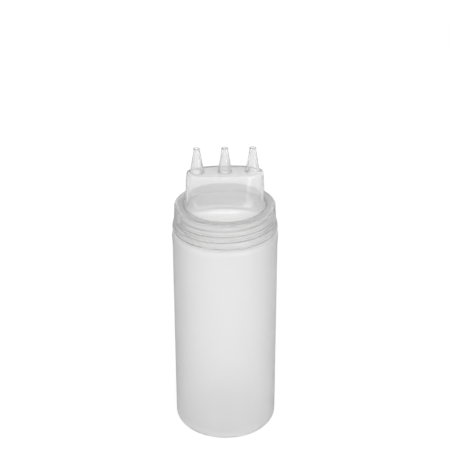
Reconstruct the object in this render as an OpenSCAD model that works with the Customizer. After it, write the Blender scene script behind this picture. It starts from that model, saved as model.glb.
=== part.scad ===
// Wide-mouth squeeze bottle for sauce, with a screw cap that carries three pouring tips in a row.
// The origin is the centre of the base where it stands. +Z is up and the tips lie along X.
// All sizes are in millimetres.

/* [Bottle body] */
// Outer diameter of the straight body
body_d = 70; // [60:0.5:90]
// Height from the table to the widest ring, where the shoulder starts to round in
body_h = 144; // [100:1:200]
// Wall thickness of the body and the shoulder
body_wall = 1.1; // [0.8:0.1:1.8]
// Radius of the rounded corner at the base
base_corner_r = 5.3; // [4:0.1:8]
// Height of the hollow under the base
base_hollow_h = 1.6; // [0.8:0.1:2.5]
// Width of the flat ring that the bottle stands on
foot_ring_w = 1.4; // [1:0.1:3]
// Width of the slope from the foot ring up to the hollow
foot_slope_w = 1.6; // [1:0.1:3]
// Thickness of the floor over the hollow
floor_t = 1.4; // [1:0.1:2.5]
// How far the ring under the shoulder stands out from the body
bead_out = 0.3; // [0.1:0.05:0.6]
// Height of the swelling from the straight body out to that ring
bead_h = 5; // [4:1:12]
// Radius of the shoulder
shoulder_r = 4.8; // [4:0.1:6]

/* [Bottle neck] */
// Distance from the side of the body in to the side of the neck
neck_inset = 5.3; // [5.2:0.1:9]
// Wall thickness of the neck
neck_wall = 1.7; // [1.3:0.1:2]
// Chamfer on the two edges of the rim
rim_chamfer = 0.35; // [0.2:0.05:0.5]

/* [Screw thread] */
// Rise of the thread in one turn
thread_pitch = 4.2; // [4:0.1:4.8]
// Number of turns on the neck and in the cap
thread_turns = 2; // [1.25:0.25:2]
// How far the thread stands out from the neck
thread_depth = 1.4; // [1.1:0.1:1.6]
// Gap along Z between the neck's thread and the cap's, at half their depth, with both in the middle
thread_play = 0.6; // [0.4:0.05:0.8]
// How much thicker a thread is at its root than at its crest
thread_taper = 1; // [0.4:0.1:1.2]
// Gap between a crest and the wall that it faces
thread_gap = 0.7; // [0.4:0.05:1]
// How far the seated cap's thread is drawn up from the middle of the groove
thread_draw = 0.25; // [0:0.05:0.3]
// Distance from the top of the shoulder to the middle of the neck thread's lower end
thread_start_h = 3.8; // [3.4:0.1:5]
// Distance from the middle of the neck thread's upper end to the rim
thread_end_h = 3; // [2:0.1:5]

/* [Seal ring] */
// Thickness of the flat seal ring between the rim and the cap
seal_t = 1; // [0.8:0.1:2]
// Gap from the seal ring to the cap's side wall and to its lip
seal_gap = 0.3; // [0.2:0.05:0.5]

/* [Cap] */
// Thickness of the cap's side wall at the thread
cap_wall = 1.9; // [1.3:0.1:2.5]
// Thickness of the cap's flat top
cap_top_t = 1.5; // [1.2:0.1:2.5]
// Gap between the shoulder's top and the cap's lower edge, measured along Z
cap_edge_gap = 0.8; // [0.5:0.1:1.5]
// How far the cap's lower edge flares out past its side wall
flare_out = 1.2; // [0.4:0.1:1.4]
// Height of the straight part of the flared edge
flare_edge_h = 1.4; // [0.8:0.1:2]
// Height of the slope above it
flare_slope_h = 5.6; // [3:0.1:7]
// Draft of the side wall from the slope to the rounded top edge
cap_draft = 0.4; // [0.2:0.1:0.8]
// Radius of the rounded top edge
cap_edge_r = 1.4; // [0.6:0.1:1.6]
// Chamfer inside the cap's lower edge
cap_lead_in = 0.8; // [0.4:0.1:1]
// Height of the lip that hangs inside the seal ring and enters the neck
lip_h = 3; // [2:0.1:4]
// Thickness of that lip
lip_t = 1; // [0.8:0.1:1.2]
// Gap between the lip and the bore of the neck
lip_gap = 0.4; // [0.3:0.05:0.6]
// Distance from the lip in to the opening of the pouring head, at the two ends
opening_inset = 0.4; // [0.3:0.1:1]

/* [Pouring head] */
// Distance from the cap's side wall in to the head's two ends, at the head's top
head_inset = 8.7; // [7.5:0.1:12]
// Width of the head along Y, at its top, before the edge is rounded
head_w = 20; // [17:0.5:22]
// Height of the head above the cap's flat top
head_h = 23; // [18:0.5:32]
// Wall thickness of the head
head_wall = 1.5; // [1.2:0.1:1.6]
// Slope of the head's two ends, in degrees from upright
end_slope = 3; // [1:0.5:4]
// Slope of the head's front and back, in degrees from upright
side_slope = 12.4; // [8:0.2:14]
// Radius of the hollow sweep from the front and back out to the flat top
sweep_r = 8.5; // [5:0.5:9]
// Radius of the small sweep at the two ends
end_sweep_r = 2; // [1:0.1:2.2]
// Radius of the rounded edge around the head's top
head_edge_r = 1.6; // [1:0.1:1.7]
// Roundness of the head's outline seen from above, where 2 is an ellipse
head_power = 2.3; // [2:0.05:2.6]

/* [Tips] */
// Distance from the head's two ends in to the feet of the outer tips
tip_inset = 1.7; // [1.6:0.1:4]
// Height of a tip above the head
tip_h = 16.2; // [10:0.1:24]
// Diameter of a tip's cone at its foot
tip_foot_d = 9.1; // [7.5:0.1:9.5]
// Width of the rounded flare around a tip's foot
tip_flare = 0.7; // [0.5:0.05:0.9]
// Diameter of a tip's cone at its top
tip_top_d = 4; // [3.6:0.1:5]
// How far the small rim at the top stands out from the cone
tip_rim_out = 0.2; // [0.1:0.05:0.3]
// Height of that rim
tip_rim_h = 0.9; // [0.5:0.1:1.5]
// Diameter of the outlet
outlet_d = 2.5; // [1.5:0.1:2.8]
// Length of the straight outlet bore
outlet_h = 2; // [1:0.1:4]
// Wall thickness of a tip at its foot
tip_foot_wall = 1.15; // [0.8:0.05:1.5]

/* [Hidden] */
$fn = 96;

TIP_COUNT = 3;
ARC_STEP = 15;        // degrees between the points of a drawn arc
THREAD_STEP = 10;     // degrees between the rings of a thread
THREAD_FADE = 40;     // degrees over which a thread's end fades out
THREAD_TAIL = 0.12;   // depth that is left at the very end, as a share
THREAD_SINK = 0.5;    // how far a thread is rooted in its wall
CAP_THREAD_TURN = 90; // degrees from the neck thread's lower end to the cap thread's
HEAD_POINTS = 72;     // points around the head's outline
HEAD_SINK = 0.7;      // how far the head is rooted in the cap's flat top
RING_STEP = 0.02;     // least height between two rings of the head
CUT = 1;              // how far a cut runs past the face that it opens
BOTTLE_COLOUR = [0.93, 0.93, 0.93, 0.6];
CAP_COLOUR = [0.88, 0.89, 0.9, 0.6];
SEAL_COLOUR = [0.97, 0.97, 0.96, 0.9];

body_r = body_d / 2;
bead_r = body_r + bead_out;
neck_r = body_r - neck_inset;
neck_bore_r = neck_r - neck_wall;
shoulder_top = body_h + shoulder_r;
thread_mid_t = thread_pitch / 2 - thread_play;
thread_root_t = thread_mid_t + thread_taper / 2;
thread_crest_t = thread_mid_t - thread_taper / 2;
neck_h = thread_start_h + thread_turns * thread_pitch + thread_end_h;
rim_z = shoulder_top + neck_h;
thread_r = neck_r + thread_depth;
cap_bore_r = thread_r + thread_gap;
cap_thread_r = neck_r + thread_gap;
cap_r = cap_bore_r + cap_wall;
cap_bottom = shoulder_top + cap_edge_gap;
cap_under = rim_z + seal_t;
cap_top = cap_under + cap_top_t;
lip_r = neck_bore_r - lip_gap;
opening_r = lip_r - lip_t - opening_inset;
neck_thread_z = shoulder_top + thread_start_h;
cap_thread_z = neck_thread_z - thread_pitch / 2 + thread_draw + thread_pitch * CAP_THREAD_TURN / 360;
head_l = 2 * (cap_r - head_inset);
head_top = cap_top + head_h;
tip_foot_r = tip_foot_d / 2 + tip_flare;
tip_pitch = (head_l - 2 * tip_inset - 2 * tip_foot_r) / (TIP_COUNT - 1);
tip_bore_d = tip_foot_d - 2 * tip_foot_wall;

function arc(cx, cy, r, from, to) =
    let (n = max(1, ceil(abs(to - from) / ARC_STEP)))
    [for (i = [0:n]) let (a = from + (to - from) * i / n) [cx + r * cos(a), cy + r * sin(a)]];

// Outside of the bottle as radius and height, from the middle of the base up to the rim
function bottle_outside() = concat(
    [
        [0, base_hollow_h],
        [body_r - base_corner_r - foot_ring_w - foot_slope_w, base_hollow_h],
        [body_r - base_corner_r - foot_ring_w, 0],
    ],
    arc(body_r - base_corner_r, base_corner_r, base_corner_r, -90, 0),
    [[body_r, body_h - bead_h]],
    arc(bead_r - shoulder_r, body_h, shoulder_r, 0, 90),
    [
        [neck_r, shoulder_top],
        [neck_r, rim_z - rim_chamfer],
        [neck_r - rim_chamfer, rim_z],
        [0, rim_z],
    ]
);

// Hollow of the bottle, which runs out past the rim
function bottle_inside() = concat(
    [
        [0, base_hollow_h + floor_t],
        [body_r - base_corner_r - foot_ring_w - foot_slope_w, base_hollow_h + floor_t],
    ],
    arc(body_r - base_corner_r, base_corner_r, base_corner_r - body_wall, -90, 0),
    [[body_r - body_wall, body_h - bead_h]],
    arc(bead_r - shoulder_r, body_h, shoulder_r - body_wall, 0, 90),
    [
        [neck_bore_r + rim_chamfer, shoulder_top - body_wall],
        [neck_bore_r, shoulder_top - body_wall + rim_chamfer],
        [neck_bore_r, rim_z - rim_chamfer],
        [neck_bore_r + rim_chamfer, rim_z],
        [neck_bore_r + rim_chamfer, rim_z + CUT],
        [0, rim_z + CUT],
    ]
);

function thread_scale(t) = max(THREAD_TAIL, min(1, min(t, 1 - t) * thread_turns * 360 / THREAD_FADE));

// One thread: it stands on the wall of radius root_r and reaches the radius crest_r on either side of it
module thread(root_r, crest_r, start_z, start_angle) {
    steps = ceil(thread_turns * 360 / THREAD_STEP);
    side = crest_r > root_r ? 1 : -1;
    points = [for (i = [0:steps]) let (
            t = i / steps,
            a = start_angle + 360 * thread_turns * t,
            z = start_z + thread_pitch * thread_turns * t,
            s = thread_scale(t),
            r0 = root_r - side * THREAD_SINK,
            r1 = root_r + (crest_r - root_r) * s
        )
        each [
            [r0 * cos(a), r0 * sin(a), z - thread_root_t / 2],
            [r1 * cos(a), r1 * sin(a), z - thread_crest_t / 2],
            [r1 * cos(a), r1 * sin(a), z + thread_crest_t / 2],
            [r0 * cos(a), r0 * sin(a), z + thread_root_t / 2],
        ]];
    sides = [for (i = [0:steps - 1], j = [0:3]) let (p = 4 * i, k = (j + 1) % 4)
        [p + j, p + 4 + j, p + 4 + k, p + k]];
    ends = [[0, 1, 2, 3], [for (j = [3:-1:0]) 4 * steps + j]];
    faces = concat(sides, ends);
    polyhedron(points, side < 0 ? faces : [for (f = faces) [for (i = [len(f) - 1:-1:0]) f[i]]]);
}

// Half size of the head at height z, for one of its two directions.
// The wall leans by slope degrees and sweeps out to the flat top with radius sweep.
// The same wall is found again at the depth inset, for the inside.
function head_half(z, half, slope, sweep, inset) =
    let (
        centre_z = cap_top + sweep,
        touch_z = centre_z - sweep * sin(slope),
        centre = half + (head_top - touch_z) * tan(slope) + sweep * cos(slope),
        r = sweep + inset,
        low_z = centre_z - r * sin(slope)
    )
    z > low_z ? half + (head_top - z) * tan(slope) - inset / cos(slope)
    : centre - sqrt(max(0, r * r - pow(centre_z - z, 2)));

// Outline of the head at height z, which reaches no further than reach at its two ends
function head_ring(z, inset, trim, reach) =
    let (
        a = min(reach, head_half(z, head_l / 2, end_slope, end_sweep_r, inset) - trim),
        b = head_half(z, head_w / 2, side_slope, sweep_r, inset) - trim
    )
    [for (i = [0:HEAD_POINTS - 1]) let (t = 360 * i / HEAD_POINTS, c = cos(t), s = sin(t)) [
        a * sign(c) * pow(abs(c), 2 / head_power),
        b * sign(s) * pow(abs(s), 2 / head_power),
        z
    ]];

module loft(rings) {
    n = len(rings[0]);
    last = len(rings) - 1;
    sides = [for (i = [0:last - 1], j = [0:n - 1]) let (k = (j + 1) % n)
        [i * n + j, (i + 1) * n + j, (i + 1) * n + k, i * n + k]];
    lower = [for (j = [0:n - 1]) j];
    upper = [for (j = [n - 1:-1:0]) last * n + j];
    polyhedron([for (ring = rings) each ring], concat(sides, [lower, upper]));
}

// Heights of the head's rings: close together in the sweep, then up the wall to the rounded edge
function head_rings(foot_z, top_z, inset, edge_r, reach) =
    let (
        sweep_top = cap_top + sweep_r,
        turn = [for (i = [1:6]) sweep_top - (sweep_r + inset) * cos(15 * i)],
        low = [for (z = turn) if (z > foot_z + 10 * RING_STEP && z < top_z - edge_r) z]
    )
    concat(
        [head_ring(foot_z, inset, 0, reach)],
        [for (z = low) head_ring(z, inset, 0, reach)],
        [for (a = [0:22.5:90])
            head_ring(top_z - edge_r * (1 - sin(a)), inset, edge_r * (1 - cos(a)), reach)]
    );

// Solid block of the head, and the hollow that is taken out of it
module head_block() {
    base = head_ring(cap_top, 0, 0, body_r);
    foot = [for (p = base) [p.x, p.y, cap_top - HEAD_SINK]];
    loft(concat([foot], head_rings(cap_top + RING_STEP, head_top, 0, head_edge_r, body_r)));
}

module head_hollow() {
    base = head_ring(cap_under, head_wall, 0, opening_r);
    foot = [for (p = base) [p.x, p.y, cap_under - CUT]];
    top_z = head_top - head_wall;
    loft(concat([foot], head_rings(cap_under + RING_STEP, top_z, head_wall, head_edge_r, opening_r)));
}

module at_tips() {
    for (i = [0:TIP_COUNT - 1])
        translate([(i - (TIP_COUNT - 1) / 2) * tip_pitch, 0, head_top])
            children();
}

module tip_outside() {
    rim_r = tip_top_d / 2 + tip_rim_out;
    rotate_extrude()
        polygon(concat(
            [[0, -HEAD_SINK], [tip_foot_r, -HEAD_SINK]],
            arc(tip_foot_r, tip_flare, tip_flare, -90, -180),
            [
                [tip_top_d / 2, tip_h - tip_rim_h - tip_rim_out],
                [rim_r, tip_h - tip_rim_h],
                [rim_r, tip_h - tip_rim_out],
                [rim_r - tip_rim_out, tip_h],
                [0, tip_h],
            ]
        ));
}

module tip_inside() {
    rotate_extrude()
        polygon([
            [0, -head_wall - CUT],
            [tip_bore_d / 2, -head_wall - CUT],
            [tip_bore_d / 2, 0],
            [outlet_d / 2, tip_h - outlet_h],
            [outlet_d / 2, tip_h + CUT],
            [0, tip_h + CUT],
        ]);
}

module cap_shell() {
    edge = cap_r - cap_draft;
    rotate_extrude()
        polygon(concat(
            [
                [cap_bore_r, cap_bottom + cap_lead_in],
                [cap_bore_r + cap_lead_in, cap_bottom],
                [cap_r + flare_out, cap_bottom],
                [cap_r + flare_out, cap_bottom + flare_edge_h],
                [cap_r, cap_bottom + flare_edge_h + flare_slope_h],
            ],
            arc(edge - cap_edge_r, cap_top - cap_edge_r, cap_edge_r, 0, 90),
            [
                [0, cap_top],
                [0, cap_under],
                [lip_r - lip_t, cap_under],
                [lip_r - lip_t, cap_under - lip_h + lip_t],
                [lip_r, cap_under - lip_h],
                [lip_r, cap_under],
                [cap_bore_r, cap_under],
            ]
        ));
}

module bottle() {
    color(BOTTLE_COLOUR)
        union() {
            rotate_extrude()
                difference() {
                    polygon(bottle_outside());
                    polygon(bottle_inside());
                }
            thread(neck_r, thread_r, neck_thread_z, 0);
        }
}

module seal_ring() {
    color(SEAL_COLOUR)
        translate([0, 0, rim_z])
            difference() {
                cylinder(h = seal_t, r = cap_bore_r - seal_gap);
                translate([0, 0, -CUT])
                    cylinder(h = seal_t + 2 * CUT, r = lip_r + seal_gap);
            }
}

module screw_cap() {
    color(CAP_COLOUR)
        difference() {
            union() {
                cap_shell();
                thread(cap_bore_r, cap_thread_r, cap_thread_z, CAP_THREAD_TURN);
                head_block();
                at_tips() tip_outside();
            }
            head_hollow();
            at_tips() tip_inside();
        }
}

bottle();
seal_ring();
screw_cap();
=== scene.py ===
# A squeeze bottle of natural translucent plastic, in the order in which it is put together:
# the blown bottle, the seal ring on its rim, then the screw cap with its head and three pouring tips.
import math

import bpy
from mathutils import Matrix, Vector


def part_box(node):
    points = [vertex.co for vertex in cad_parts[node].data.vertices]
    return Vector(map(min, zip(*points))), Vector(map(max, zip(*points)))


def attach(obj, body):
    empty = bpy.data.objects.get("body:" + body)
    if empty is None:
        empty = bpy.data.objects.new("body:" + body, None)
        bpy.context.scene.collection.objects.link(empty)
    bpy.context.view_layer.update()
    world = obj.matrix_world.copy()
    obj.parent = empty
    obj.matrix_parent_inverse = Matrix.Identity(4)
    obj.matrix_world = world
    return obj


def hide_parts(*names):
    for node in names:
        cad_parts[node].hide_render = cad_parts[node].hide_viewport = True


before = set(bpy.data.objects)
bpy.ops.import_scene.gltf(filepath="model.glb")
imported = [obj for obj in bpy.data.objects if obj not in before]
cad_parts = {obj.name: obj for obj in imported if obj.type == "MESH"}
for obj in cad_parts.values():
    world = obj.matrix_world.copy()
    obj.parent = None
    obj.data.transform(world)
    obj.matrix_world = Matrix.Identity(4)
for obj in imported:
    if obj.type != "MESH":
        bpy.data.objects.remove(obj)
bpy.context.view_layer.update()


# Bottle.
# One shell of soft natural polyethylene, blown in a two-part mould that also shaped the neck's thread.
# It stands on a narrow flat ring around a shallow hollow, where the mould pinched the tube of plastic off.
MM = 0.001
TURN_STEPS = 144
ROUNDING_STEP = math.radians(10)
WELD_DISTANCE = 0.002 * MM
SHARP_EDGE_ANGLE = math.radians(35)

body_wall = 1.1 * MM
body_sweep = 60 * MM
bead_out = 0.3 * MM
bead_h = 5 * MM
bead_flat_h = 1.5 * MM
bead_sweep = 10 * MM
base_corner_r = 5.3 * MM
foot_ring_w = 1.4 * MM
foot_slope_w = 1.6 * MM
hollow_h = 1.6 * MM
floor_t = 1.4 * MM
shoulder_r = 4.8 * MM
neck_h = 15.2 * MM
neck_inset = 5.3 * MM
neck_wall = 1.7 * MM
rim_edge = 0.35 * MM
soft_edge = 0.4 * MM

bottle_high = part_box("bottle")[1]
bead_r = bottle_high.x
body_r = bead_r - bead_out
inner_r = body_r - body_wall
foot_ring_r = body_r - base_corner_r - foot_ring_w
hollow_r = foot_ring_r - foot_slope_w
neck_r = body_r - neck_inset
neck_bore_r = neck_r - neck_wall
rim_z = bottle_high.z
shoulder_z = rim_z - neck_h
bead_z = shoulder_z - shoulder_r
bead_foot_z = bead_z - bead_h
bead_flat_z = bead_z - bead_flat_h


def rounded(corners, step=ROUNDING_STEP):
    """An outline of (radius, height) points, from corners given as (radius, height, rounding)."""
    points = []
    for i, (x, z, size) in enumerate(corners):
        if not size or i in (0, len(corners) - 1):
            points.append((x, z))
            continue
        before = (corners[i - 1][0] - x, corners[i - 1][1] - z)
        after = (corners[i + 1][0] - x, corners[i + 1][1] - z)
        a0, a1 = math.atan2(before[1], before[0]), math.atan2(after[1], after[0])
        opening = (a1 - a0 + math.pi) % math.tau - math.pi
        reach = size / math.tan(abs(opening) / 2)
        distance = size / math.sin(abs(opening) / 2)
        centre_x = x + distance * math.cos(a0 + opening / 2)
        centre_z = z + distance * math.sin(a0 + opening / 2)
        start = math.atan2(z + reach * math.sin(a0) - centre_z, x + reach * math.cos(a0) - centre_x)
        end = math.atan2(z + reach * math.sin(a1) - centre_z, x + reach * math.cos(a1) - centre_x)
        sweep = (end - start + math.pi) % math.tau - math.pi
        count = max(2, math.ceil(abs(sweep) / step))
        for k in range(count + 1):
            angle = start + sweep * k / count
            points.append((centre_x + size * math.cos(angle), centre_z + size * math.sin(angle)))
    return points


def drawn(name, outline):
    """An outline drawn in the XZ plane, as by hand: one point, extruded to each next one in turn."""
    bpy.ops.object.select_all(action="DESELECT")
    bpy.ops.mesh.primitive_plane_add(size=MM, location=(outline[0][0], 0, outline[0][1]))
    piece = bpy.context.object
    piece.name = piece.data.name = name
    bpy.ops.object.transform_apply(location=True, rotation=True, scale=True)
    bpy.ops.object.mode_set(mode="EDIT")
    bpy.ops.mesh.merge(type="CENTER")
    for (x0, z0), (x1, z1) in zip(outline, outline[1:]):
        bpy.ops.mesh.extrude_region_move(TRANSFORM_OT_translate={"value": (x1 - x0, 0, z1 - z0)})
    return piece


def turned(name, outline, steps=TURN_STEPS):
    """Draws the outline, then spins it about the upright axis as on a lathe."""
    piece = drawn(name, outline)
    bpy.ops.mesh.select_all(action="SELECT")
    bpy.ops.mesh.spin(steps=steps, angle=math.tau, center=(0, 0, 0), axis=(0, 0, 1))
    bpy.ops.mesh.select_all(action="SELECT")
    bpy.ops.mesh.remove_doubles(threshold=WELD_DISTANCE)
    bpy.ops.mesh.normals_make_consistent(inside=False)
    bpy.ops.object.mode_set(mode="OBJECT")
    return piece


thread_pitch = 4.2 * MM
thread_turns = 2
thread_root_t = 2 * MM
thread_crest_t = 1 * MM
thread_depth = 1.4 * MM
thread_sink = 0.5 * MM
thread_edge = 0.3 * MM
thread_edge_step = math.radians(30)
thread_steps = 72
thread_fade_steps = 8
thread_tail_share = 0.12
thread_start_z = shoulder_z + 3.8 * MM


def thread(name, root_r, crest_r, start_z, start_angle):
    """Winds a thread's rounded section up a helix, closes its ends, and fades them out into the wall."""
    side = 1 if crest_r > root_r else -1
    half_root, half_crest = thread_root_t / 2, thread_crest_t / 2
    section = rounded([
        (root_r - side * thread_sink, -half_root, 0),
        (root_r, -half_root, 0),
        (crest_r, -half_crest, thread_edge),
        (crest_r, half_crest, thread_edge),
        (root_r, half_root, 0),
        (root_r - side * thread_sink, half_root, 0),
    ], thread_edge_step)
    piece = drawn(name, section)
    bpy.ops.mesh.select_all(action="SELECT")
    bpy.ops.mesh.edge_face_add()
    bpy.ops.mesh.delete(type="ONLY_FACE")
    bpy.ops.object.mode_set(mode="OBJECT")
    helix = piece.modifiers.new("helix", "SCREW")
    helix.angle = math.tau
    helix.screw_offset = thread_pitch
    helix.iterations = thread_turns
    helix.steps = helix.render_steps = thread_steps
    bpy.ops.object.modifier_apply(modifier=helix.name)
    last = thread_steps * thread_turns
    for vertex in piece.data.vertices:
        ring = vertex.index // len(section)
        from_end = min(ring, last - ring)
        share = max(thread_tail_share, min(1, from_end / thread_fade_steps))
        radius = math.hypot(vertex.co.x, vertex.co.y)
        height_out = side * (radius - root_r)
        if height_out > 0:
            vertex.co.xy *= (root_r + side * height_out * share) / radius
    bpy.ops.object.mode_set(mode="EDIT")
    bpy.ops.mesh.select_mode(type="EDGE")
    bpy.ops.mesh.select_all(action="DESELECT")
    bpy.ops.mesh.select_non_manifold()
    bpy.ops.mesh.edge_face_add()
    bpy.ops.mesh.select_mode(type="VERT")
    bpy.ops.mesh.select_all(action="SELECT")
    bpy.ops.mesh.normals_make_consistent(inside=False)
    bpy.ops.object.mode_set(mode="OBJECT")
    piece.location.z = start_z
    piece.rotation_euler.z = start_angle
    bpy.ops.object.transform_apply(location=True, rotation=True, scale=True)
    return piece


def fuse(piece, other):
    """Makes one closed skin of two solids that run into each other, as one shot of plastic has."""
    bpy.ops.object.select_all(action="DESELECT")
    bpy.context.view_layer.objects.active = piece
    union = piece.modifiers.new("union", "BOOLEAN")
    union.operation = "UNION"
    union.solver = "EXACT"
    union.object = other
    bpy.ops.object.modifier_apply(modifier=union.name)
    bpy.data.objects.remove(other)


def finish_surface(piece):
    """Shades the piece smooth apart from its true edges, and lets flat faces keep their own normals."""
    bpy.ops.object.select_all(action="DESELECT")
    piece.select_set(True)
    bpy.context.view_layer.objects.active = piece
    bpy.ops.object.shade_smooth_by_angle(angle=SHARP_EDGE_ANGLE)
    weighted = piece.modifiers.new("flat faces stay flat", "WEIGHTED_NORMAL")
    weighted.keep_sharp = True
    bpy.ops.object.modifier_apply(modifier=weighted.name)


bottle = turned("bottle_shell", rounded([
    (0, hollow_h, 0),
    (hollow_r, hollow_h, soft_edge),
    (foot_ring_r, 0, soft_edge),
    (body_r, 0, base_corner_r),
    (body_r, bead_foot_z, body_sweep),
    (bead_r, bead_flat_z, bead_sweep),
    (bead_r, shoulder_z, shoulder_r),
    (neck_r, shoulder_z, soft_edge),
    (neck_r, rim_z, rim_edge),
    (neck_bore_r, rim_z, rim_edge),
    (neck_bore_r, shoulder_z - body_wall, soft_edge),
    (bead_r - body_wall, shoulder_z - body_wall, shoulder_r - body_wall),
    (bead_r - body_wall, bead_flat_z, bead_sweep),
    (inner_r, bead_foot_z, body_sweep),
    (inner_r, body_wall, base_corner_r - body_wall),
    (foot_ring_r, body_wall, soft_edge),
    (hollow_r, hollow_h + floor_t, soft_edge),
    (0, hollow_h + floor_t, 0),
]))
fuse(bottle, thread("neck_thread", neck_r, neck_r + thread_depth, thread_start_z, 0))

pinch_w = 1 * MM
pinch_l = 40 * MM
pinch_h = 0.6 * MM
pinch_sink = 0.4 * MM
pinch_edge = pinch_w / 4
bpy.ops.object.select_all(action="DESELECT")
bpy.ops.mesh.primitive_cube_add(size=1, location=(0, 0, hollow_h + (pinch_sink - pinch_h) / 2))
pinch = bpy.context.object
pinch.scale = (pinch_w, pinch_l, pinch_h + pinch_sink)
bpy.ops.object.transform_apply(location=True, rotation=True, scale=True)
bpy.ops.object.mode_set(mode="EDIT")
bpy.ops.mesh.bevel(offset=pinch_edge, segments=3)
bpy.ops.object.mode_set(mode="OBJECT")
fuse(bottle, pinch)
finish_surface(bottle)


def moulded_haze():
    """Milky clouds that follow the flow of the plastic, and the fine grain of the mould on its skin."""
    group = bpy.data.node_groups.new("moulded haze", "ShaderNodeTree")
    for name, value in (("Cloud Size", 18 * MM), ("Upright Stretch", 2.5), ("Grain Size", 0.4 * MM)):
        socket = group.interface.new_socket(name=name, in_out="INPUT", socket_type="NodeSocketFloat")
        socket.default_value = value
    for name in ("Haze", "Grain"):
        group.interface.new_socket(name=name, in_out="OUTPUT", socket_type="NodeSocketFloat")
    nodes, links = group.nodes, group.links
    given = nodes.new("NodeGroupInput")
    made = nodes.new("NodeGroupOutput")
    place = nodes.new("ShaderNodeTexCoord")

    def one_over(value):
        node = nodes.new("ShaderNodeMath")
        node.operation = "DIVIDE"
        node.inputs[0].default_value = 1
        links.new(value, node.inputs[1])
        return node.outputs[0]

    stretch = nodes.new("ShaderNodeCombineXYZ")
    stretch.inputs["X"].default_value = stretch.inputs["Y"].default_value = 1
    links.new(one_over(given.outputs["Upright Stretch"]), stretch.inputs["Z"])
    stretched = nodes.new("ShaderNodeVectorMath")
    stretched.operation = "MULTIPLY"
    links.new(place.outputs["Object"], stretched.inputs[0])
    links.new(stretch.outputs[0], stretched.inputs[1])

    clouds = nodes.new("ShaderNodeTexNoise")
    clouds.inputs["Detail"].default_value = 3
    links.new(stretched.outputs[0], clouds.inputs["Vector"])
    links.new(one_over(given.outputs["Cloud Size"]), clouds.inputs["Scale"])
    haze = nodes.new("ShaderNodeMapRange")
    haze.inputs["From Min"].default_value = 0.3
    haze.inputs["From Max"].default_value = 0.7
    links.new(clouds.outputs["Fac"], haze.inputs["Value"])
    links.new(haze.outputs["Result"], made.inputs["Haze"])

    grain = nodes.new("ShaderNodeTexNoise")
    grain.inputs["Detail"].default_value = 2
    links.new(place.outputs["Object"], grain.inputs["Vector"])
    links.new(one_over(given.outputs["Grain Size"]), grain.inputs["Scale"])
    links.new(grain.outputs["Fac"], made.inputs["Grain"])
    return group


haze_group = moulded_haze()
GRAIN_STRENGTH = 0.3


def milky_plastic(name, clear, milky, smooth, rough, clearness, bend,
                  cloud_size, upright_stretch, grain_size=0, grain_height=0, absorbed=0):
    """A plastic that lets light through: clear and smooth where haze is thin, milky and rough where thick."""
    material = bpy.data.materials.new(name)
    material.use_nodes = True
    nodes, links = material.node_tree.nodes, material.node_tree.links
    shader = nodes["Principled BSDF"]
    shader.inputs["Transmission Weight"].default_value = clearness
    shader.inputs["IOR"].default_value = bend
    surface = nodes.new("ShaderNodeGroup")
    surface.node_tree = haze_group
    surface.inputs["Cloud Size"].default_value = cloud_size
    surface.inputs["Upright Stretch"].default_value = upright_stretch
    colour = nodes.new("ShaderNodeMix")
    colour.data_type = "RGBA"
    colour.inputs["A"].default_value = (*clear, 1)
    colour.inputs["B"].default_value = (*milky, 1)
    links.new(surface.outputs["Haze"], colour.inputs["Factor"])
    links.new(colour.outputs["Result"], shader.inputs["Base Color"])
    gloss = nodes.new("ShaderNodeMapRange")
    gloss.inputs["To Min"].default_value = smooth
    gloss.inputs["To Max"].default_value = rough
    links.new(surface.outputs["Haze"], gloss.inputs["Value"])
    links.new(gloss.outputs["Result"], shader.inputs["Roughness"])
    if grain_height:
        surface.inputs["Grain Size"].default_value = grain_size
        bump = nodes.new("ShaderNodeBump")
        bump.inputs["Strength"].default_value = GRAIN_STRENGTH
        bump.inputs["Distance"].default_value = grain_height
        links.new(surface.outputs["Grain"], bump.inputs["Height"])
        links.new(bump.outputs["Normal"], shader.inputs["Normal"])
    if absorbed:
        depth = nodes.new("ShaderNodeVolumeAbsorption")
        depth.inputs["Color"].default_value = (0, 0, 0, 1)
        depth.inputs["Density"].default_value = absorbed
        links.new(depth.outputs[0], nodes["Material Output"].inputs["Volume"])
    return material


bottle.data.materials.append(milky_plastic(
    "natural polyethylene, blown",
    clear=(0.992, 0.992, 0.992), milky=(0.985, 0.985, 0.985),
    smooth=0.29, rough=0.33, clearness=0.85, bend=1.51,
    cloud_size=6 * MM, upright_stretch=12, absorbed=3,
))
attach(bottle, "bottle")
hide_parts("bottle")


# Seal ring.
# A flat ring of milky silicone that lies on the neck's rim and is squeezed under the cap's top.
# The lip inside the cap keeps it in place when the cap comes off.
ring_low, ring_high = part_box("seal_ring")
ring_overhang = 0.1 * MM
ring_edge = 0.15 * MM
ring_bore_r = neck_bore_r - ring_overhang
ring_middle = (ring_low.z + ring_high.z) / 2
ring = turned("seal_ring_moulded", rounded([
    (ring_bore_r, ring_middle, 0),
    (ring_bore_r, ring_low.z, ring_edge),
    (ring_high.x, ring_low.z, ring_edge),
    (ring_high.x, ring_high.z, ring_edge),
    (ring_bore_r, ring_high.z, ring_edge),
    (ring_bore_r, ring_middle, 0),
]))
finish_surface(ring)
ring.data.materials.append(milky_plastic(
    "silicone rubber",
    clear=(0.9, 0.9, 0.89), milky=(0.86, 0.86, 0.85),
    smooth=0.4, rough=0.5, clearness=0.4, bend=1.41,
    cloud_size=9 * MM, upright_stretch=1, grain_size=2 * MM, grain_height=0.01 * MM,
))
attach(ring, "seal")
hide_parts("seal_ring")


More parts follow.
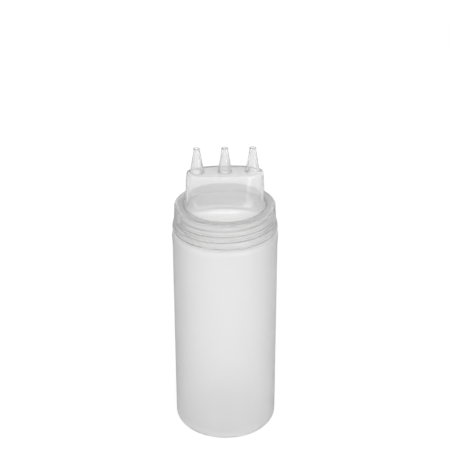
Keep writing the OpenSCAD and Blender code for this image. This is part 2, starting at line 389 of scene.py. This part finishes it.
# Screw cap.
# One injection moulding of clearer polyethylene: a screwed skirt, a flat top, and an oblong head that
# sweeps up out of it. Three slim tips stand in a row on the head, each with a round outlet and a small rim.
cap_top_t = 1.5 * MM
cap_draft = 0.4 * MM
cap_edge_r = 1.4 * MM
skirt_join_r = 29.5 * MM
flare_out = 1.2 * MM
flare_h = 7 * MM
flare_sweep = 4 * MM
flare_corner_h = 1.4 * MM
flare_corner_r = 1.2 * MM
mouth_edge = 0.25 * MM
mouth_chamfer = 0.8 * MM
inner_edge = 0.15 * MM
bore_corner_r = 0.3 * MM
thread_room = 0.7 * MM
lip_gap = 0.4 * MM
lip_t = 1 * MM
lip_h = 3 * MM
lip_edge = 0.2 * MM

cap_low, cap_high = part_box("screw_cap")
flare_r = cap_high.x
cap_r = flare_r - flare_out
cap_top_r = cap_r - cap_draft
cap_bore_r = neck_r + thread_depth + thread_room
cap_under = ring_high.z
cap_top = cap_under + cap_top_t
lip_r = neck_bore_r - lip_gap
lip_inner_r = lip_r - lip_t
lip_z = cap_under - lip_h
skirt = turned("screw_cap_moulded", rounded([
    (skirt_join_r, cap_top, 0),
    (cap_top_r, cap_top, cap_edge_r),
    (cap_r, cap_low.z + flare_h, flare_sweep),
    (flare_r, cap_low.z + flare_corner_h, flare_corner_r),
    (flare_r, cap_low.z, mouth_edge),
    (cap_bore_r + mouth_chamfer, cap_low.z, inner_edge),
    (cap_bore_r, cap_low.z + mouth_chamfer, inner_edge),
    (cap_bore_r, cap_under, bore_corner_r),
    (lip_r, cap_under, inner_edge),
    (lip_r, lip_z, lip_edge),
    (lip_inner_r, lip_z + lip_t, lip_edge),
    (lip_inner_r, cap_under, 0),
]))

head_h = 23 * MM
head_wall = 1.5 * MM
head_edge_r = 1.6 * MM
head_power = 2.3
head_long = {"half": 25 * MM, "slope": math.radians(3), "sweep": 2 * MM}
head_broad = {"half": 10 * MM, "slope": math.radians(12.4), "sweep": 8.5 * MM}
head_wall_levels = (15 * MM, 18.5 * MM)
head_sweep_angles = range(3, 91, 6)
head_edge_angles = range(0, 91, 10)
opening_margin = 0.4 * MM
head_top = cap_top + head_h
opening_reach = lip_inner_r - opening_margin


def head_half(z, inset, half, slope, sweep):
    """Half the head's size at height z: its wall leans in by slope and sweeps out to the flat top below."""
    centre_z = cap_top + sweep
    touch_z = centre_z - sweep * math.sin(slope)
    centre = half + (head_top - touch_z) * math.tan(slope) + sweep * math.cos(slope)
    radius = sweep + inset
    if z > centre_z - radius * math.sin(slope):
        return half + (head_top - z) * math.tan(slope) - inset / math.cos(slope)
    return centre - math.sqrt(max(0, radius ** 2 - (centre_z - z) ** 2))


def head_levels(foot_z, top_z, inset, reach):
    """The head's outline sizes from foot to top, as (height, half length, half width)."""
    sweep = head_broad["sweep"]
    edge_z = top_z - head_edge_r
    turns = [cap_top + sweep - (sweep + inset) * math.cos(math.radians(a)) for a in head_sweep_angles]
    heights = [foot_z] + [z for z in turns if foot_z < z < edge_z]
    heights += [cap_top + level for level in head_wall_levels]
    levels = [(z, min(reach, head_half(z, inset, **head_long)), head_half(z, inset, **head_broad))
              for z in sorted(heights)]
    for angle in map(math.radians, head_edge_angles):
        z = top_z - head_edge_r * (1 - math.sin(angle))
        trim = head_edge_r * (1 - math.cos(angle))
        levels.append((z, head_half(z, inset, **head_long) - trim, head_half(z, inset, **head_broad) - trim))
    return levels


def head_skin(name, levels):
    """Extrudes a rounded oblong outline up through all levels, resizing it at each."""
    z, long, broad = levels[0]
    bpy.ops.object.select_all(action="DESELECT")
    bpy.ops.mesh.primitive_circle_add(vertices=TURN_STEPS, radius=1, location=(0, 0, z))
    skin = bpy.context.object
    skin.name = skin.data.name = name
    bpy.ops.object.transform_apply(location=True, rotation=True, scale=True)
    for vertex in skin.data.vertices:
        x, y = vertex.co.xy
        vertex.co.x = math.copysign(abs(x) ** (2 / head_power), x) * long
        vertex.co.y = math.copysign(abs(y) ** (2 / head_power), y) * broad
    bpy.ops.object.mode_set(mode="EDIT")
    bpy.ops.mesh.select_all(action="SELECT")
    for level in levels[1:]:
        bpy.ops.mesh.extrude_region_move(TRANSFORM_OT_translate={"value": (0, 0, level[0] - z)})
        bpy.ops.transform.resize(value=(level[1] / long, level[2] / broad, 1), center_override=(0, 0, 0))
        z, long, broad = level
    bpy.ops.object.mode_set(mode="OBJECT")
    return skin


head_outside = head_skin("head_outside", head_levels(cap_top, head_top, 0, flare_r))
head_inside = head_skin("head_inside", head_levels(cap_under, head_top - head_wall, head_wall, opening_reach))

TIP_STEPS = 48
tip_pitch = 18.05 * MM
tip_foot_r = 4.55 * MM
tip_flare = 0.7 * MM
tip_top_r = 2 * MM
tip_rim_out = 0.2 * MM
tip_rim_h = 0.9 * MM
tip_rim_edge = 0.25 * MM
tip_bore_r = 3.4 * MM
tip_bore_edge = 0.8 * MM
outlet_r = 1.25 * MM
outlet_h = 2 * MM
outlet_edge = 0.1 * MM
tip_top = cap_high.z
tip_rim_z = tip_top - tip_rim_h
first_tip = turned("tip", rounded([
    (tip_foot_r + tip_flare, head_top, 0),
    (tip_foot_r, head_top, tip_flare),
    (tip_top_r, tip_rim_z - tip_rim_out, 0),
    (tip_top_r + tip_rim_out, tip_rim_z, outlet_edge),
    (tip_top_r + tip_rim_out, tip_top, tip_rim_edge),
    (outlet_r, tip_top, outlet_edge),
    (outlet_r, tip_top - outlet_h, 0),
    (tip_bore_r, head_top, tip_bore_edge),
    (tip_bore_r, head_top - head_wall, 0),
]), TIP_STEPS)
tips = []
for x in (-tip_pitch, 0, tip_pitch):
    tip = first_tip.copy()
    tip.data = first_tip.data.copy()
    bpy.context.scene.collection.objects.link(tip)
    tip.location.x = x
    tips.append(tip)
bpy.data.objects.remove(first_tip)

bpy.ops.object.select_all(action="DESELECT")
for part in [skirt, head_outside, head_inside, *tips]:
    part.select_set(True)
bpy.context.view_layer.objects.active = skirt
bpy.ops.object.transform_apply(location=True, rotation=True, scale=True)
bpy.ops.object.join()

LEVEL_TOLERANCE = 0.01 * MM


def open_edges(piece, z):
    """Selects the open edges that lie at height z, in edge mode."""
    bpy.ops.object.mode_set(mode="EDIT")
    bpy.ops.mesh.select_mode(type="EDGE")
    bpy.ops.mesh.select_all(action="DESELECT")
    bpy.ops.mesh.select_non_manifold()
    bpy.ops.object.mode_set(mode="OBJECT")
    corners = piece.data.vertices
    for edge in piece.data.edges:
        if any(abs(corners[i].co.z - z) > LEVEL_TOLERANCE for i in edge.vertices):
            edge.select = False
    bpy.ops.object.mode_set(mode="EDIT")


for z in (cap_top, cap_under, head_top, head_top - head_wall):
    open_edges(skirt, z)
    bpy.ops.mesh.fill(use_beauty=True)
bpy.ops.mesh.select_mode(type="VERT")
bpy.ops.mesh.select_all(action="SELECT")
bpy.ops.mesh.remove_doubles(threshold=WELD_DISTANCE)
bpy.ops.mesh.normals_make_consistent(inside=False)
bpy.ops.object.mode_set(mode="OBJECT")

# The cap's thread starts a quarter turn on, and runs half a pitch below the neck's, with a little slack.
thread_slack = 0.25 * MM
cap_thread_angle = math.radians(90)
cap_thread_z = thread_start_z - thread_pitch / 2 + thread_slack + thread_pitch / 4
fuse(skirt, thread("cap_thread", cap_bore_r, neck_r + thread_room, cap_thread_z, cap_thread_angle))
finish_surface(skirt)
skirt.data.materials.append(milky_plastic(
    "natural polyethylene, injected",
    clear=(0.985, 0.985, 0.985), milky=(0.972, 0.972, 0.972),
    smooth=0.09, rough=0.12, clearness=0.78, bend=1.51,
    cloud_size=14 * MM, upright_stretch=1.5, absorbed=6,
))
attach(skirt, "cap")
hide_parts("screw_cap")


# Studio.
# A plain pale floor that runs out of the picture, a white surround, and soft boxes above and to both sides.
# What the camera sees behind the object is white by its own colour, and the floor keeps the soft shadow.
FLOOR_SIZE = 60
bpy.ops.object.select_all(action="DESELECT")
bpy.ops.mesh.primitive_plane_add(size=FLOOR_SIZE, location=(0, 0, 0))
floor = bpy.context.object
floor.name = "studio_floor"


def by_ray(nodes, shader, **others):
    """Shows each named kind of ray its own shader in place of the first. Of two that fit, the later holds."""
    links = nodes.id_data.links
    path = nodes.new("ShaderNodeLightPath")
    for kind, other in others.items():
        choice = nodes.new("ShaderNodeMixShader")
        links.new(path.outputs[f"Is {kind.title()} Ray"], choice.inputs["Fac"])
        links.new(shader, choice.inputs[1])
        links.new(other, choice.inputs[2])
        shader = choice.outputs[0]
    return shader


def partly_white(nodes, glow, matte):
    """A white that partly shines by itself and partly takes the light and shadow that fall on it."""
    links = nodes.id_data.links
    lit = nodes.new("ShaderNodeBsdfDiffuse")
    lit.inputs["Color"].default_value = (matte, matte, matte, 1)
    white = nodes.new("ShaderNodeEmission")
    white.inputs["Color"].default_value = (1, 1, 1, 1)
    white.inputs["Strength"].default_value = glow
    both = nodes.new("ShaderNodeAddShader")
    links.new(lit.outputs[0], both.inputs[0])
    links.new(white.outputs[0], both.inputs[1])
    return both.outputs[0]


def room(nodes, dim, bright, towards):
    """A white room that is brightest towards one direction and dimmer in all others."""
    links = nodes.id_data.links
    direction = nodes.new("ShaderNodeTexCoord")
    along = nodes.new("ShaderNodeVectorMath")
    along.operation = "DOT_PRODUCT"
    along.inputs[1].default_value = towards
    links.new(direction.outputs["Generated"], along.inputs[0])
    rise = nodes.new("ShaderNodeMapRange")
    rise.interpolation_type = "SMOOTHSTEP"
    rise.inputs["From Min"].default_value = 0.1
    rise.inputs["From Max"].default_value = 0.8
    rise.inputs["To Min"].default_value = dim
    rise.inputs["To Max"].default_value = bright
    links.new(along.outputs["Value"], rise.inputs["Value"])
    white = nodes.new("ShaderNodeBackground")
    white.inputs["Color"].default_value = (1, 1, 1, 1)
    links.new(rise.outputs["Result"], white.inputs["Strength"])
    return white.outputs[0]


floor_material = bpy.data.materials.new("pale floor")
floor_material.use_nodes = True
nodes, links = floor_material.node_tree.nodes, floor_material.node_tree.links
nodes.remove(nodes["Principled BSDF"])
surface = by_ray(
    nodes,
    partly_white(nodes, glow=0.1, matte=0.9),
    glossy=partly_white(nodes, glow=0, matte=0.5),
    transmission=partly_white(nodes, glow=0.72, matte=0.35),
    camera=partly_white(nodes, glow=0.92, matte=0.12),
)
links.new(surface, nodes["Material Output"].inputs["Surface"])
floor.data.materials.append(floor_material)

OVERHEAD = (0, 0, 1)
FRONT_ABOVE = (0, -0.8, 0.6)
world = bpy.data.worlds.new("white studio")
bpy.context.scene.world = world
world.use_nodes = True
nodes, links = world.node_tree.nodes, world.node_tree.links
nodes.remove(nodes["Background"])
surround = by_ray(
    nodes,
    room(nodes, dim=0.4, bright=1, towards=FRONT_ABOVE),
    glossy=room(nodes, dim=0.35, bright=0.8, towards=OVERHEAD),
    transmission=room(nodes, dim=0.8, bright=1.55, towards=FRONT_ABOVE),
    camera=room(nodes, dim=1, bright=1, towards=OVERHEAD),
)
links.new(surround, nodes["World Output"].inputs["Surface"])

BOX_AIM_HEIGHT = 0.12


def soft_box(name, azimuth, elevation, distance, width, height, watts):
    """A soft box that faces the object, where azimuth 0 is the camera's side and grows to its right."""
    light = bpy.data.lights.new(name, "AREA")
    light.shape = "RECTANGLE"
    light.size = width
    light.size_y = height
    light.energy = watts
    box = bpy.data.objects.new(name, light)
    bpy.context.scene.collection.objects.link(box)
    around, up = math.radians(azimuth), math.radians(elevation)
    box.matrix_world = (
        Matrix.Translation((0, 0, BOX_AIM_HEIGHT))
        @ Matrix.Rotation(around, 4, "Z")
        @ Matrix.Rotation(math.pi / 2 - up, 4, "X")
        @ Matrix.Translation((0, 0, distance))
    )
    box.visible_camera = False
    box.visible_transmission = False


soft_box("box_above", azimuth=0, elevation=88, distance=1.2, width=0.5, height=0.5, watts=1.5)
soft_box("box_right", azimuth=40, elevation=20, distance=1.1, width=0.4, height=0.9, watts=3.5)
soft_box("box_left", azimuth=-60, elevation=20, distance=1.1, width=0.2, height=0.9, watts=1.5)

CAMERA_YAW = math.radians(-2.4)
CAMERA_PITCH = math.radians(26.74)
CAMERA_ROLL = math.radians(-0.19)
CAMERA_BACK = 0.7081
CAMERA_HEIGHT = 0.507
CAMERA_LENS = 95.52
CAMERA_SENSOR = 36
camera_data = bpy.data.cameras.new("camera")
camera_data.lens = CAMERA_LENS
camera_data.sensor_width = CAMERA_SENSOR
camera = bpy.data.objects.new("camera", camera_data)
camera.location = (CAMERA_BACK * math.sin(CAMERA_YAW), -CAMERA_BACK * math.cos(CAMERA_YAW), CAMERA_HEIGHT)
camera.rotation_euler = (
    Matrix.Rotation(CAMERA_YAW, 3, "Z")
    @ Matrix.Rotation(math.pi / 2 - CAMERA_PITCH, 3, "X")
    @ Matrix.Rotation(CAMERA_ROLL, 3, "Z")
).to_euler()
bpy.context.scene.collection.objects.link(camera)
bpy.context.scene.camera = camera
bpy.context.scene.view_settings.view_transform = "Standard"
cycles = bpy.context.scene.cycles
cycles.max_bounces = cycles.transmission_bounces = 32
cycles.glossy_bounces = cycles.diffuse_bounces = 12
